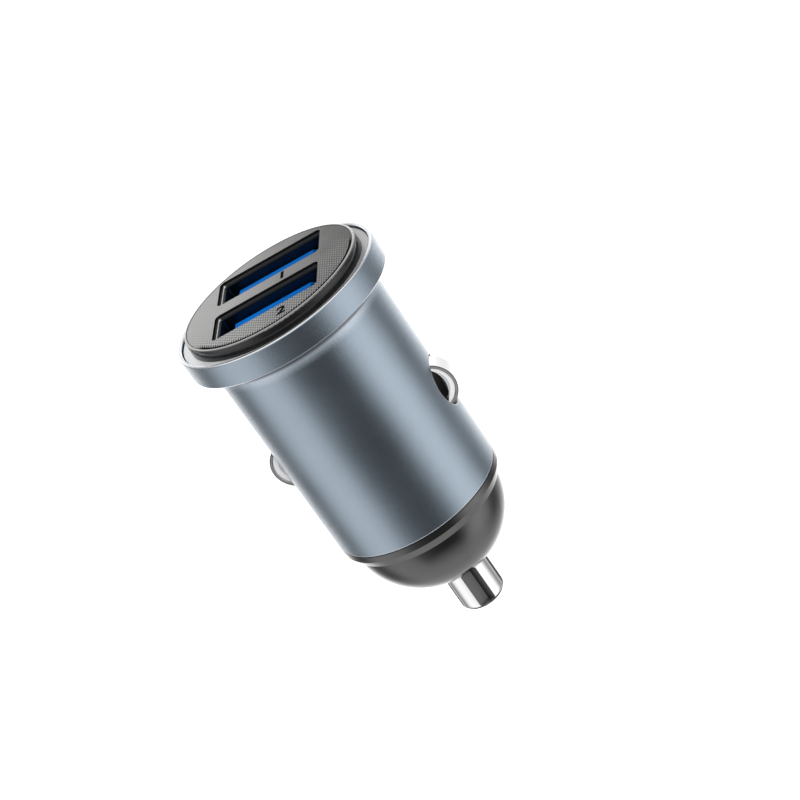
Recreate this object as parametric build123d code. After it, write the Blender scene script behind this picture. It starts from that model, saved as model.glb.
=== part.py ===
from build123d import *
import math
import os

# Car USB charger plug, in millimetres. +Z runs up the plug's axis towards the face with the ports.
# The origin is the centre of the flange seat, the flat underside of the head.

# Fits between pieces
seat_gap = 0.05
running_gap = 0.15

# Shell: head rim, straight barrel and bore, turned in one piece
flange_width = 2.1
rim_height = 2.92
rim_wall = 0.45
rim_floor = 1.15
rim_outer_bevel = 0.16
rim_inner_bevel = 0.10
rim_foot_bevel = 0.12
barrel_wall = 0.55
barrel_foot_bevel = 0.12
seat_fillet = 0.25

# Oval windows through the barrel for the two side contacts
contact_inset = 5.2
window_width = 5.8
window_height = 6.4

# Light ring in the head, with two light pipes down to the lamps
ring_thickness = 1.4
ring_edge_gap = 0.12
ring_show = 1.0
pipe_thickness = 1.85
pipe_width = 3.2
lamp_gap = 0.10

# Collar that rises from the head and frames the face plate
collar_height = 1.42
collar_taper = 0.07
collar_shoulder = 0.22
collar_land = 0.12
collar_web = 1.10
collar_leg_reach = 5.0
collar_leg_thickness = 1.5
collar_leg_width = 8.4

# Face plate, and the port mouths through it and the collar
plate_gap = 0.06
plate_thickness = 0.30
mouth_skin = 0.20
mouth_land = 0.05
mouth_margin_left = 0.62
mouth_margin_right = 0.10
mouth_margin_near = 0.06
mouth_margin_far = 0.80
mouth_corner = 0.65
mouth_throat_corner = 0.35

# Two ports, one above the other, which set the bore
port_room = 0.11
port_pitch = 8.5
port_offset = 0.45
port_width = 12.5
port_height = 5.12
port_sheet = 0.30
port_corner = 0.64
port_depth = 12.85
finger_width = 1.7
finger_length = 5.0
finger_lift = 0.42
finger_rise = 1.2
finger_start = 2.2
finger_slot = 0.35
finger_spacing = 6.0
solder_leg_width = 0.9
solder_leg_spread = 1.5
solder_leg_reach = 1.3

# Insulator with its tongue, and four terminals to a port
tongue_side_gap = 1.15
tongue_thickness = 1.85
tongue_recess = 0.60
tongue_bevel = 0.30
insulator_base = 3.0
terminal_places = (-3.5, -1.0, 1.0, 3.5)
terminal_width = 1.0
terminal_thickness = 0.25
terminal_proud = 0.06
terminal_setback = 0.9
terminal_tail_width = 0.6
terminal_tail_reach = 1.7

# Boards
board_thickness = 1.0
board_hole_gap = 0.12
port_board_edge = 0.15
main_board_edge = 0.30
main_board_end = 0.10
main_board_tab_width = 2.4
main_board_tab_rise = 1.5

# Carrier sleeve inside the barrel, which guides the side contacts and the main board
carrier_wall = 0.85
pocket_wall = 0.65
pocket_overlap = 1.0
pocket_floor = 0.75
rail_reach = 1.0
rail_width = 0.9

# Side contacts: folded spring-steel bows that stand out of the windows
bow_radius = 3.1
bow_proud = 1.45
bow_width = 2.5
bow_sheet = 0.40
bow_strip = 0.35
bow_strip_bevel = 0.07
bow_step = 0.20
bow_lean = 0.35
bow_root_radius = 1.5
bow_inner_radius = 3.4
bow_inner_proud = 0.20
foot_setback = 0.40
foot_side_gap = 0.60
foot_end_gap = 0.10
flush_margin = 0.05

# Leaf springs behind the side contacts
leaf_thickness = 0.25
leaf_width = 2.2
leaf_end_inset = 0.55
tail_width = 1.5
solder_pad_length = 1.4
leaf_room = 1.7

# Trim ring between barrel and nose
trim_band = 0.80
trim_bevel_height = 1.05
trim_bevel_width = 0.55
trim_lip = 1.0

# Nose cap
nose_step = 0.15
nose_height = 8.35
nose_tip_radius = 3.3
nose_shoulder = 1.4
nose_wall = 1.2
neck_step = 0.55
neck_height = 4.1
bead_reach = 0.28
bead_height = 0.7

# Sprung centre pin
pin_radius = 2.8
pin_proud = 5.85
pin_tip_round = 0.95
pin_flange_step = 0.9
pin_flange_height = 1.0
pin_tail_step = 0.4
pin_tail_height = 2.0
pin_pocket_wall = 0.55
pin_pocket_depth = 2.6
pin_travel = 2.0
pin_floor = 1.5
guide_wall = 0.9
guide_rise = 5.4
notch_angle = -128.0
notch_corner_x = 0.63
notch_corner_y = -1.52
notch_web = 0.60

# Pin spring and its terminal
spring_wire = 0.36
spring_end_gap = 0.03
spring_side_gap = 0.22
spring_turns = 6
terminal_disc_radius = 2.5
terminal_disc_thickness = 0.4
terminal_strip_width = 1.6
terminal_strip_overlap = 1.2
pin_room = 1.0

# Parts on the boards
lamp_side = 1.6
lamp_height = 0.7
lamp_lens_radius = 0.6
lamp_lens_depth = 0.3
inductor_side = 6.0
inductor_height = 3.0
inductor_corner = 0.9
inductor_top_bevel = 0.35
winding_groove_radius = 2.3
winding_groove_width = 0.35
winding_groove_depth = 0.4
part_gap = 0.25
upper_inset = 3.95
upper_offset = 4.4
can_radius = 3.15
can_height = 3.6
can_base = 0.8
can_base_side = 6.6
can_base_bevel = 0.7
can_groove_rise = 0.45
can_groove_height = 0.45
can_groove_depth = 0.25
can_round = 0.35
lower_offset = 4.2
chip_length = 4.9
chip_width = 3.9
chip_height = 1.5
chip_pins = 4
chip_pin_pitch = 1.27
chip_pin_width = 0.42
chip_pin_reach = 1.0
chip_pin_thickness = 0.22
chip_bevel = 0.25
diode_length = 4.3
diode_width = 2.6
diode_height = 2.1
diode_tab_width = 1.5
diode_tab_reach = 0.5
diode_tab_thickness = 0.3
diode_bevel = 0.2
ceramic_length = 1.6
ceramic_width = 0.8
ceramic_height = 0.8
ceramic_cap = 0.35
ceramic_count = 4
ceramic_pitch = 1.7

# Places worked out from the sizes above
port_outer_width = port_width + 2 * port_sheet
port_outer_height = port_height + 2 * port_sheet
port_centres = (port_offset + port_pitch / 2, port_offset - port_pitch / 2)
port_corner_x = port_outer_width / 2 - port_corner
port_corner_y = port_offset + (port_pitch + port_outer_height) / 2 - port_corner
bore_radius = math.hypot(port_corner_x, port_corner_y) + port_corner + port_room
barrel_radius = bore_radius + barrel_wall
rim_radius = barrel_radius + flange_width
recess_radius = rim_radius - rim_wall
sleeve_radius = bore_radius - 2 * seat_gap
collar_bottom = rim_floor + ring_thickness
collar_top = collar_bottom + collar_height
collar_radius = recess_radius - ring_show
collar_shoulder_radius = collar_radius - collar_taper - collar_shoulder
collar_recess_radius = collar_shoulder_radius - collar_land
plate_bottom = collar_bottom + collar_web
plate_top = plate_bottom + plate_thickness
plate_radius = collar_recess_radius - plate_gap
mouth_bottom = plate_bottom - mouth_skin
port_front = mouth_bottom - seat_gap
port_back = port_front - port_depth
tongue_tip = port_front - tongue_recess
terminal_low = -terminal_proud
terminal_high = terminal_thickness - terminal_proud
port_board_bottom = port_back - board_thickness
port_board_radius = sleeve_radius - port_board_edge
pipe_inner = sleeve_radius - pipe_thickness
board_face = board_thickness / 2
upper_drop = upper_inset - port_board_bottom
lower_drop = upper_drop + part_gap + (inductor_side + can_base_side) / 2
main_board_bottom = -lower_drop - can_base_side / 2 - main_board_end
carrier_top = port_board_bottom
carrier_bottom = main_board_bottom - 2 * seat_gap
carrier_inner = sleeve_radius - carrier_wall
main_board_half_width = carrier_inner - main_board_edge
contact_drop = contact_inset - carrier_top
contact_travel = bow_proud + flush_margin
pocket_height = window_height + 2 * pocket_overlap
foot_height = pocket_height - 2 * foot_end_gap
foot_width = window_width - 2 * foot_side_gap
leaf_half_span = foot_height / 2 - leaf_end_inset
foot_outer_x = bore_radius - foot_setback
foot_inner_x = foot_outer_x - bow_sheet
pocket_inner_x = foot_inner_x - contact_travel - leaf_room
pocket_floor_x = pocket_inner_x - pocket_floor
bow_centre_x = barrel_radius + bow_proud - bow_radius
neck_top = carrier_bottom - 2 * seat_gap
neck_radius = bore_radius - neck_step
trim_bottom = neck_top - neck_height
barrel_bottom = trim_bottom + trim_bevel_height + trim_band
nose_radius = neck_radius + nose_step
nose_bottom = trim_bottom - nose_height
pin_seat = nose_bottom + pin_floor
pin_tip = nose_bottom - pin_proud
flange_top = pin_seat + pin_flange_height
pin_back = flange_top + pin_tail_height
pin_pocket_bottom = pin_back - pin_pocket_depth
terminal_disc_bottom = pin_back + pin_travel + pin_room
pin_flange_radius = pin_radius + pin_flange_step
pin_tail_radius = pin_radius - pin_tail_step
pin_pocket_radius = pin_tail_radius - pin_pocket_wall
spring_radius = pin_pocket_radius - spring_side_gap - spring_wire / 2
guide_inner = pin_flange_radius + running_gap
beyond = 2 * rim_radius


def turned(outline):
    """Revolve a closed outline of (radius, height) points about the plug's axis."""
    return revolve(Plane.XZ * make_face(Polyline(*outline, close=True)), Axis.Z)


def disc(radius, bottom, top):
    """Solid cylinder on the plug's axis between two heights."""
    upwards = (Align.CENTER, Align.CENTER, Align.MIN)
    return Pos(0, 0, bottom) * Cylinder(radius, top - bottom, align=upwards)


def block(x_span, y_span, z_span):
    """Box between a low and a high place along each axis."""
    size = [high - low for low, high in (x_span, y_span, z_span)]
    corner = Pos(x_span[0], y_span[0], z_span[0])
    return corner * Box(*size, align=(Align.MIN, Align.MIN, Align.MIN))


def about(middle, length):
    """Low and high places of a length centred on a middle."""
    return (middle - length / 2, middle + length / 2)


def opposite(shape):
    """The same shape on the opposite side of the plug's axis."""
    return Rot(0, 0, 180) * shape


def make_shell():
    """Turned shell: recessed head rim, thin barrel and two oval contact windows."""
    body = turned([
        (bore_radius, barrel_bottom),
        (barrel_radius - barrel_foot_bevel, barrel_bottom),
        (barrel_radius, barrel_bottom + barrel_foot_bevel),
        (barrel_radius, 0),
        (rim_radius - rim_foot_bevel, 0),
        (rim_radius, rim_foot_bevel),
        (rim_radius, rim_height - rim_outer_bevel),
        (rim_radius - rim_outer_bevel, rim_height),
        (recess_radius + rim_inner_bevel, rim_height),
        (recess_radius, rim_height - rim_inner_bevel),
        (recess_radius, rim_floor),
        (bore_radius, rim_floor),
    ])
    circles = body.edges().filter_by(GeomType.CIRCLE)
    barrel_edges = circles.filter_by(lambda edge: math.isclose(edge.radius, barrel_radius))
    body = fillet(barrel_edges.sort_by(Axis.Z)[-1], seat_fillet)
    window = Ellipse(window_width / 2, window_height / 2)
    cutter = extrude(Plane.YZ * window, beyond, both=True)
    return body - Pos(0, 0, -contact_drop) * cutter


def make_light_ring():
    """Flat translucent ring with two light pipes that reach down inside the barrel."""
    ring_inner = bore_radius + seat_gap
    ring_outer = recess_radius - ring_edge_gap
    ring = disc(ring_outer, rim_floor, collar_bottom) - disc(ring_inner, rim_floor, collar_bottom)
    pipe_bottom = port_back + lamp_height + lamp_gap
    width = about(0, pipe_width)
    bridge = block((pipe_inner, ring_inner + rim_wall), width, (rim_floor, collar_bottom))
    pipe = block((pipe_inner, bore_radius), width, (pipe_bottom, collar_bottom))
    pipe = pipe & disc(sleeve_radius, pipe_bottom, collar_bottom)
    return ring + bridge + opposite(bridge) + pipe + opposite(pipe)


def port_outline(margin):
    """Rounded outline of a port's metal sleeve, grown by a margin."""
    width = port_outer_width + 2 * margin
    height = port_outer_height + 2 * margin
    return RectangleRounded(width, height, port_corner + margin)


def mouth_outline():
    """Rounded outline of a port's mouth in the face, wider on its left and far sides."""
    width = mouth_margin_left + port_width + mouth_margin_right
    height = mouth_margin_near + port_height + mouth_margin_far
    middle = Pos((mouth_margin_right - mouth_margin_left) / 2, (mouth_margin_far - mouth_margin_near) / 2)
    return middle * RectangleRounded(width, height, mouth_corner)


def make_collar():
    """Gloss collar: rounded lip round the plate, two snap legs, port holes under sloped mouths."""
    body = turned([
        (0, collar_bottom),
        (collar_radius, collar_bottom),
        (collar_radius - collar_taper, collar_top - collar_shoulder),
        (collar_shoulder_radius, collar_top - collar_shoulder),
        (collar_shoulder_radius, collar_top),
        (0, collar_top),
    ])
    shoulder = Pos(collar_shoulder_radius, collar_top - collar_shoulder) * Circle(collar_shoulder)
    body += revolve(Plane.XZ * shoulder, Axis.Z)
    body -= disc(collar_recess_radius, plate_bottom, collar_top)
    leg_span = (collar_bottom - collar_leg_reach, collar_bottom)
    leg_inner = sleeve_radius - collar_leg_thickness
    leg = block(about(0, collar_leg_width), (leg_inner, bore_radius), leg_span)
    leg = leg & disc(sleeve_radius, *leg_span)
    body += leg + opposite(leg)
    hole = Pos(0, 0, collar_bottom) * extrude(port_outline(seat_gap), mouth_bottom - collar_bottom)
    throat = RectangleRounded(port_width, port_height, mouth_throat_corner)
    hole += Pos(0, 0, mouth_bottom) * extrude(throat, mouth_skin)
    land = Pos(0, 0, mouth_bottom + mouth_land)
    hole += loft([land * throat, Pos(0, 0, plate_bottom) * mouth_outline()])
    for centre in port_centres:
        body -= Pos(0, centre, 0) * hole
    return body


def make_plate():
    """Thin face disc with the two port mouths cut through it."""
    plate = disc(plate_radius, plate_bottom, plate_top)
    for centre in port_centres:
        plate -= Pos(0, centre, plate_bottom) * extrude(mouth_outline(), plate_thickness)
    return plate


def make_port_sleeve(centre):
    """Drawn sheet sleeve of a port, with sprung fingers in both long walls and solder legs."""
    tube = extrude(port_outline(0) - port_outline(-port_sheet), port_depth)
    sleeve = Pos(0, 0, port_back) * tube
    finger_top = port_front - finger_start
    finger_root = finger_top - finger_length
    finger_crest = finger_top - finger_rise
    inner = port_height / 2
    outer = inner + port_sheet
    outline = Polyline(
        (outer, finger_root),
        (outer - finger_lift, finger_crest),
        (outer, finger_top),
        (inner, finger_top),
        (inner - finger_lift, finger_crest),
        (inner, finger_root),
        close=True,
    )
    finger = extrude(Plane.YZ * make_face(outline), finger_width / 2, both=True)
    hole_width = about(0, finger_width + 2 * finger_slot)
    hole_depth = about((inner + outer) / 2, 2 * port_sheet)
    hole = block(hole_width, hole_depth, (finger_root, finger_top + finger_slot))
    for turn in (0, 180):
        for x in about(0, finger_spacing):
            place = Rot(0, 0, turn) * Pos(x, 0, 0)
            sleeve = sleeve - place * hole + place * finger
    leg_span = (port_back - solder_leg_reach, port_back)
    for x in about(0, port_outer_width - port_sheet):
        for y in about(0, solder_leg_spread):
            sleeve += block(about(x, port_sheet), about(y, solder_leg_width), leg_span)
    return Pos(0, centre, 0) * sleeve


def make_insulator(centre):
    """Moulded base and tongue of a port, grooved for its terminals."""
    body = Pos(0, 0, port_back) * extrude(port_outline(-port_sheet - seat_gap), insulator_base)
    tongue_width = port_width - 2 * tongue_side_gap
    tongue = block(about(0, tongue_width), (0, tongue_thickness), (port_back, tongue_tip))
    body += chamfer(tongue.faces().sort_by(Axis.Z)[-1].edges(), tongue_bevel)
    for x in terminal_places:
        groove_width = about(x, terminal_width + seat_gap)
        groove = (terminal_low, terminal_high)
        body -= block(groove_width, groove, (port_back, tongue_tip - terminal_setback))
    return Pos(0, centre, 0) * body


def make_terminals(centre):
    """Four flat terminals of a port, each with a narrow tail through the port board."""
    terminals = Part()
    depth = (terminal_low, terminal_high)
    blade = (port_back, tongue_tip - terminal_setback)
    tail = (port_back - terminal_tail_reach, port_back)
    for x in terminal_places:
        terminals += block(about(x, terminal_width), depth, blade)
        terminals += block(about(x, terminal_tail_width), depth, tail)
    return Pos(0, centre, 0) * terminals


def make_port_board():
    """Round board under the ports, pierced for their legs and tails and the main board's tab."""
    board = disc(port_board_radius, port_board_bottom, port_back)
    through = (port_board_bottom, port_back)
    margin = 2 * board_hole_gap
    for centre in port_centres:
        tail_middle = centre + (terminal_low + terminal_high) / 2
        for x in terminal_places:
            hole = about(x, terminal_tail_width + margin)
            board -= block(hole, about(tail_middle, terminal_thickness + margin), through)
        for x in about(0, port_outer_width - port_sheet):
            for y in about(centre, solder_leg_spread):
                hole = about(x, port_sheet + margin)
                board -= block(hole, about(y, solder_leg_width + margin), through)
    slot = about(port_offset, main_board_tab_width + margin)
    return board - block(about(0, board_thickness + margin), slot, through)


def make_main_board():
    """Upright board along the axis, tabbed into the port board and held in the carrier's rails."""
    sheet = about(0, board_thickness)
    board = block(sheet, about(0, 2 * main_board_half_width), (main_board_bottom, port_board_bottom))
    tab_top = port_board_bottom + main_board_tab_rise
    return board + block(sheet, about(port_offset, main_board_tab_width), (port_board_bottom, tab_top))


def make_carrier():
    """Moulded sleeve with a pocket behind each window and rails for the main board."""
    whole = disc(sleeve_radius, carrier_bottom, carrier_top)
    sleeve = whole - disc(carrier_inner, carrier_bottom, carrier_top)
    rail_y = (carrier_inner - rail_reach, sleeve_radius)
    rail_middle = board_face + seat_gap + rail_width / 2
    for x in about(0, 2 * rail_middle):
        rail = block(about(x, rail_width), rail_y, (carrier_bottom, carrier_top)) & whole
        sleeve += rail + opposite(rail)
    wall_y = about(0, window_width + 2 * pocket_wall)
    wall_z = about(-contact_drop, pocket_height + 2 * pocket_wall)
    pocket = block((pocket_floor_x, sleeve_radius), wall_y, wall_z) & whole
    room_z = about(-contact_drop, pocket_height)
    room = block((pocket_inner_x, beyond), about(0, window_width), room_z)
    slit_z = about(-contact_drop, leaf_thickness + 2 * seat_gap)
    slit = block((board_face, foot_inner_x), about(0, tail_width + 2 * seat_gap), slit_z)
    sleeve += pocket + opposite(pocket)
    return sleeve - room - opposite(room) - slit - opposite(slit)


def make_contact():
    """Folded bow: a strip along its crest, two leaning flanks, and feet behind the barrel's wall."""
    edge = bow_width / 2
    flank = edge - bow_step
    root = flank - bow_lean
    half_section = make_face(Polyline(
        (bow_radius, 0),
        (bow_radius, edge - bow_strip_bevel),
        (bow_radius - bow_strip_bevel, edge),
        (bow_radius - bow_strip, edge),
        (bow_radius - bow_strip, flank),
        (bow_root_radius, root),
        (bow_root_radius, root - bow_sheet),
        (bow_radius - bow_sheet, flank - bow_sheet),
        (bow_radius - bow_sheet, 0),
        close=True,
    ))
    hoop = Pos(bow_centre_x, 0, 0) * revolve(half_section + mirror(half_section, Plane.XZ), Axis.Y)
    inner_x = barrel_radius + bow_inner_proud - bow_inner_radius
    removed = extrude(Plane.XZ * Pos(inner_x, 0) * Circle(bow_inner_radius), beyond, both=True)
    kept = block((foot_inner_x, beyond), about(0, bow_width), about(0, foot_height))
    bow = (hoop & kept) - removed
    half_chord = math.sqrt(bow_radius ** 2 - (foot_outer_x - bow_centre_x) ** 2)
    foot_x = (foot_inner_x, foot_outer_x)
    foot_y = about(0, foot_width)
    foot = block(foot_x, foot_y, (half_chord - bow_sheet, foot_height / 2))
    bow += foot + Rot(180, 0, 0) * foot
    return Pos(0, 0, -contact_drop) * bow


def make_leaf():
    """Bent leaf spring that backs a contact, with a tail soldered to the main board."""
    belly_x = pocket_inner_x + seat_gap
    tip_x = foot_inner_x - seat_gap
    rise = tip_x - belly_x
    radius = (leaf_half_span ** 2 + rise ** 2) / (2 * rise)
    inner = radius - leaf_thickness
    inner_half_span = math.sqrt(inner ** 2 - (tip_x - belly_x - radius) ** 2)
    inner_belly = (belly_x + leaf_thickness, 0)
    strip = make_face([
        ThreePointArc((tip_x, leaf_half_span), (belly_x, 0), (tip_x, -leaf_half_span)),
        Line((tip_x, -leaf_half_span), (tip_x, -inner_half_span)),
        ThreePointArc((tip_x, -inner_half_span), inner_belly, (tip_x, inner_half_span)),
        Line((tip_x, inner_half_span), (tip_x, leaf_half_span)),
    ])
    leaf = extrude(Plane.XZ * strip, leaf_width / 2, both=True)
    width = about(0, tail_width)
    half = leaf_thickness / 2
    leaf += block((board_face, belly_x + half), width, (-half, half))
    leaf += block((board_face, board_face + leaf_thickness), width, (half - solder_pad_length, half))
    return Pos(0, 0, -contact_drop) * leaf


def make_trim_ring():
    """Ring under the barrel: a band, a bevel and a lip that centres it in the bore."""
    inner = neck_radius + seat_gap
    lip_radius = bore_radius - seat_gap
    return turned([
        (inner, trim_bottom),
        (barrel_radius - trim_bevel_width, trim_bottom),
        (barrel_radius, barrel_bottom - trim_band),
        (barrel_radius, barrel_bottom),
        (lip_radius, barrel_bottom),
        (lip_radius, barrel_bottom + trim_lip),
        (inner, barrel_bottom + trim_lip),
    ])


def dome(wall, bottom):
    """Dome under a quarter of an ellipse, drawn inwards by a wall and cut flat at the bottom."""
    width = nose_radius - nose_shoulder
    flat_share = (nose_tip_radius - nose_shoulder) / width
    reach = nose_height / math.sqrt(1 - flat_share ** 2)
    side = Pos(nose_shoulder, trim_bottom) * Ellipse(width - wall, reach - wall)
    core = Pos(0, trim_bottom) * Rectangle(nose_shoulder, reach - wall, align=(Align.MIN, Align.MAX))
    kept = Pos(0, trim_bottom) * Rectangle(beyond, trim_bottom - bottom, align=(Align.MIN, Align.MAX))
    return revolve(Plane.XZ * ((side + core) & kept), Axis.Z)


def make_nose():
    """Domed nose cap with a snap neck, and a guide tube for the pin inside."""
    bead_bottom = barrel_bottom + trim_lip + seat_gap
    cap = dome(0, nose_bottom) + disc(neck_radius, trim_bottom, neck_top)
    cap += turned([
        (0, bead_bottom),
        (neck_radius + bead_reach, bead_bottom),
        (neck_radius, bead_bottom + bead_height),
        (0, bead_bottom + bead_height),
    ])
    cap -= dome(nose_wall, pin_seat)
    cap -= disc(neck_radius - nose_wall, trim_bottom, neck_top)
    guide = disc(guide_inner + guide_wall, pin_seat, pin_seat + guide_rise)
    cap += guide
    cap -= disc(guide_inner, pin_seat, pin_seat + guide_rise)
    return cap - disc(pin_radius + running_gap, nose_bottom, pin_seat)


def make_pin():
    """Centre pin: rounded tip, square notch along its side, stop flange and spring pocket."""
    tip = disc(pin_radius, pin_tip, pin_seat)
    tip = fillet(tip.edges().group_by(Axis.Z)[0], pin_tip_round)
    pin = tip + disc(pin_flange_radius, pin_seat, flange_top)
    pin += disc(pin_tail_radius, flange_top, pin_back)
    pin -= disc(pin_pocket_radius, pin_pocket_bottom, pin_back)
    side = 2 * pin_radius
    notch_floor = pin_tip + notch_web
    notch = Box(side, side, pin_seat - notch_floor, align=(Align.MIN, Align.MIN, Align.MIN))
    return pin - Pos(notch_corner_x, notch_corner_y, notch_floor) * Rot(0, 0, notch_angle) * notch


def make_spring():
    """Coil spring between the pin's pocket and its terminal."""
    low = pin_pocket_bottom + spring_wire / 2 + spring_end_gap
    high = terminal_disc_bottom - spring_wire / 2 - spring_end_gap
    path = Helix((high - low) / spring_turns, high - low, spring_radius, center=(0, 0, low))
    return sweep(Plane(path @ 0, z_dir=path % 0) * Circle(spring_wire / 2), path)


def make_pin_terminal():
    """Disc that the pin spring bears on, with a strip soldered to the main board."""
    top = terminal_disc_bottom + terminal_disc_thickness
    strip_x = (board_face, board_face + terminal_disc_thickness)
    strip_z = (terminal_disc_bottom, main_board_bottom + terminal_strip_overlap)
    strip = block(strip_x, about(0, terminal_strip_width), strip_z)
    return disc(terminal_disc_radius, terminal_disc_bottom, top) + strip


def make_lamp():
    """Small lamp on the port board, under a light pipe."""
    x_span = (pipe_inner, pipe_inner + lamp_side)
    lamp = block(x_span, about(0, lamp_side), (port_back, port_back + lamp_height))
    lens_place = Pos(pipe_inner + lamp_side / 2, 0, port_back + lamp_height)
    return lamp - lens_place * Cylinder(lamp_lens_radius, lamp_lens_depth)


def on_board(shape, side, y, drop):
    """Stand a shape made on the XY plane on one face of the main board."""
    face = Plane(origin=(side * board_face, y, -drop), x_dir=(0, 1, 0), z_dir=(side, 0, 0))
    return face * shape


def make_inductor():
    """Shielded power inductor with a round winding groove in its top."""
    outline = RectangleRounded(inductor_side, inductor_side, inductor_corner)
    core = extrude(outline, inductor_height)
    core = chamfer(core.faces().sort_by(Axis.Z)[-1].edges(), inductor_top_bevel)
    groove = Circle(winding_groove_radius) - Circle(winding_groove_radius - winding_groove_width)
    core -= Pos(0, 0, inductor_height - winding_groove_depth) * extrude(groove, winding_groove_depth)
    return on_board(core, 1, upper_offset, upper_drop)


def make_can():
    """Aluminium can capacitor on its square base, with the crimp groove."""
    top = can_base + can_height
    groove_low = can_base + can_groove_rise
    can = turned([
        (0, can_base),
        (can_radius, can_base),
        (can_radius, groove_low),
        (can_radius - can_groove_depth, groove_low + can_groove_height / 2),
        (can_radius, groove_low + can_groove_height),
        (can_radius, top - can_round),
        (can_radius - can_round, top),
        (0, top),
    ])
    square = Rectangle(can_base_side, can_base_side)
    return can + extrude(chamfer(square.vertices().group_by(Axis.X)[-1], can_base_bevel), can_base)


def make_chip():
    """Eight-pin controller chip with gull-wing pins on two sides."""
    body = Pos(0, 0, chip_pin_thickness) * extrude(Rectangle(chip_width, chip_length), chip_height)
    body = chamfer(body.faces().sort_by(Axis.Z)[-1].edges(), chip_bevel)
    pin_middle = chip_width / 2 + chip_pin_reach / 2
    for side in (1, -1):
        for place in range(chip_pins):
            y = (place - (chip_pins - 1) / 2) * chip_pin_pitch
            x_foot = about(side * pin_middle, chip_pin_reach)
            body += block(x_foot, about(y, chip_pin_width), (0, chip_pin_thickness))
            x_riser = about(side * (chip_width / 2 + chip_pin_thickness / 2), chip_pin_thickness)
            body += block(x_riser, about(y, chip_pin_width), (0, chip_height / 2))
    return on_board(body, -1, upper_offset, upper_drop)


def make_diode():
    """Moulded diode with folded end tabs."""
    body = extrude(Rectangle(diode_width, diode_length), diode_height)
    body = chamfer(body.faces().sort_by(Axis.Z)[-1].edges(), diode_bevel)
    reach = diode_length + 2 * diode_tab_reach
    tabs = block(about(0, diode_tab_width), about(0, reach), (0, diode_tab_thickness))
    return on_board(body + tabs, 1, -upper_offset, lower_drop)


def make_ceramics():
    """Row of small ceramic capacitors beside the chip, with their end caps."""
    row = Part()
    for place in range(ceramic_count):
        z = (place - (ceramic_count - 1) / 2) * ceramic_pitch
        body = extrude(Pos(0, z) * Rectangle(ceramic_length, ceramic_width), ceramic_height)
        cap = extrude(Rectangle(ceramic_cap, ceramic_width + seat_gap), ceramic_height + seat_gap)
        for x in about(0, ceramic_length - ceramic_cap):
            body += Pos(x, z, 0) * cap
        row += body
    return on_board(row, -1, -upper_offset, upper_drop)


contact = make_contact()
leaf = make_leaf()
lamp = make_lamp()
can = make_can()

pieces = {
    "shell": make_shell(),
    "light_ring": make_light_ring(),
    "face_collar": make_collar(),
    "face_plate": make_plate(),
    "port_board": make_port_board(),
    "main_board": make_main_board(),
    "contact_carrier": make_carrier(),
    "contact_right": contact,
    "contact_left": opposite(contact),
    "contact_leaf_right": leaf,
    "contact_leaf_left": opposite(leaf),
    "trim_ring": make_trim_ring(),
    "nose_cap": make_nose(),
    "centre_pin": make_pin(),
    "pin_spring": make_spring(),
    "pin_terminal": make_pin_terminal(),
    "led_right": lamp,
    "led_left": opposite(lamp),
    "inductor": make_inductor(),
    "input_capacitor": on_board(can, 1, lower_offset, lower_drop),
    "output_capacitor": on_board(can, -1, -lower_offset, lower_drop),
    "controller_chip": make_chip(),
    "diode": make_diode(),
    "ceramic_capacitors": make_ceramics(),
}
for number, centre in enumerate(port_centres, start=1):
    pieces[f"usb_sleeve_{number}"] = make_port_sleeve(centre)
    pieces[f"usb_insulator_{number}"] = make_insulator(centre)
    pieces[f"usb_terminals_{number}"] = make_terminals(centre)

os.makedirs("parts", exist_ok=True)
for name, piece in pieces.items():
    export_step(piece, f"parts/{name}.step")
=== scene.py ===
import math

import bpy
import numpy as np
from mathutils import Matrix, Quaternion, Vector


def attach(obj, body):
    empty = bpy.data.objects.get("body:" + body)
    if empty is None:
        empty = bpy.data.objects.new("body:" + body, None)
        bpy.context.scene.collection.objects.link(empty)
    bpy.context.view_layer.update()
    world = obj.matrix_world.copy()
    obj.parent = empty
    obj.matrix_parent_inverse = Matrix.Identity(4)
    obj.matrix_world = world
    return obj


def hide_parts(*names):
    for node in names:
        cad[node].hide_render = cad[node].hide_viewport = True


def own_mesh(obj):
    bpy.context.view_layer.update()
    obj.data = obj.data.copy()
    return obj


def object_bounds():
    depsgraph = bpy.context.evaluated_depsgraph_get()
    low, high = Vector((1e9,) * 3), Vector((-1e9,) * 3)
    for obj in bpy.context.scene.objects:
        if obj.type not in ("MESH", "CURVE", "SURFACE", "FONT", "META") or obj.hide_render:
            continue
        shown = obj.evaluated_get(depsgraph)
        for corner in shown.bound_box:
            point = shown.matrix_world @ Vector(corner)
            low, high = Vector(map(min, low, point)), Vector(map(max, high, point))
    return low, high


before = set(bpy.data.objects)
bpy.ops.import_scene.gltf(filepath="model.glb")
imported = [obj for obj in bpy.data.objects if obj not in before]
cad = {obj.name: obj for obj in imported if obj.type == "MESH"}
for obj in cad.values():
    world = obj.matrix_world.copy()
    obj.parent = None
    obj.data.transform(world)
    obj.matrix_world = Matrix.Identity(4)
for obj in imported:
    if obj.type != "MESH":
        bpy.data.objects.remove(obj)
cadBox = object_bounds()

# Car USB charger plug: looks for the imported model, in metres.
# +Z runs up the plug's axis to the face with the ports.
mm = 0.001
print("frame loaded:", len(cad), "nodes")


# camera at the photograph's view

cameraView = {
    "aim": (0.004585, 0.001241, -0.016021),   # the point of the line of sight nearest the plug's axis
    "distance": 0.246542,
    "heading": 105.1387,                      # degrees round from +X
    "tilt": -23.8966,                         # degrees above level
    "roll": -34.5384,
    "lens": 99.0,
    "sensor": 36.0,
    "nearest": 0.01,
    "farthest": 10.0,
}


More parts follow.
